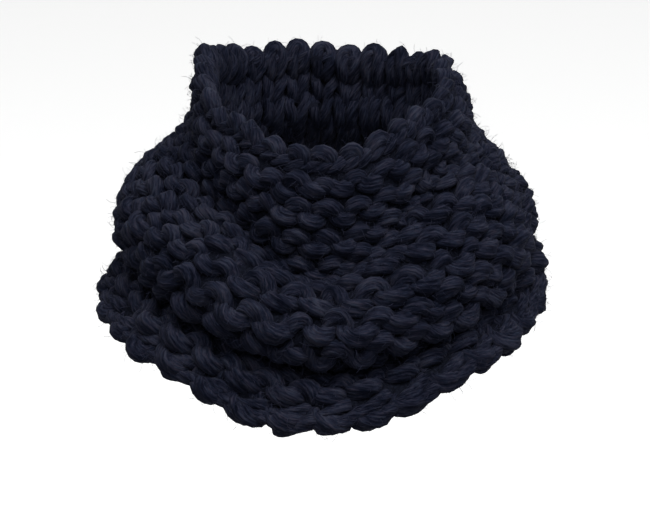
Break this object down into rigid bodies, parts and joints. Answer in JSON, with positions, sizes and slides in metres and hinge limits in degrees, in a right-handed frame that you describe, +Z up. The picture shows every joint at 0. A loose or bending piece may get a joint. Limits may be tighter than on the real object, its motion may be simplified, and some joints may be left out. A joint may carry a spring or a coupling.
{
  "type": "knitted neck warmer",
  "caption": "Chunky knitted tube worn round the neck, open at top and hem, hanging in three soft tiers with a chain-edged hem.",
  "frame": {"origin": "on the axis of the wearer's neck, level with the valley between collar and roll at the front, where the wearer's neck holds the garment", "axes": "+Z up along the neck, the front faces -Y, +X to the right of someone who looks at the front"},
  "size_m": [0.2592, 0.2557, 0.2012],
  "materials": {
    "navy_wool": "soft matt plied wool"
  },
  "bodies": {
    "root": {"collar_stand": "navy_wool", "middle_roll": "navy_wool", "hem_skirt": "navy_wool", "cast_on_edge": "navy_wool", "bind_off_chain": "navy_wool"}
  },
  "joints": []
}
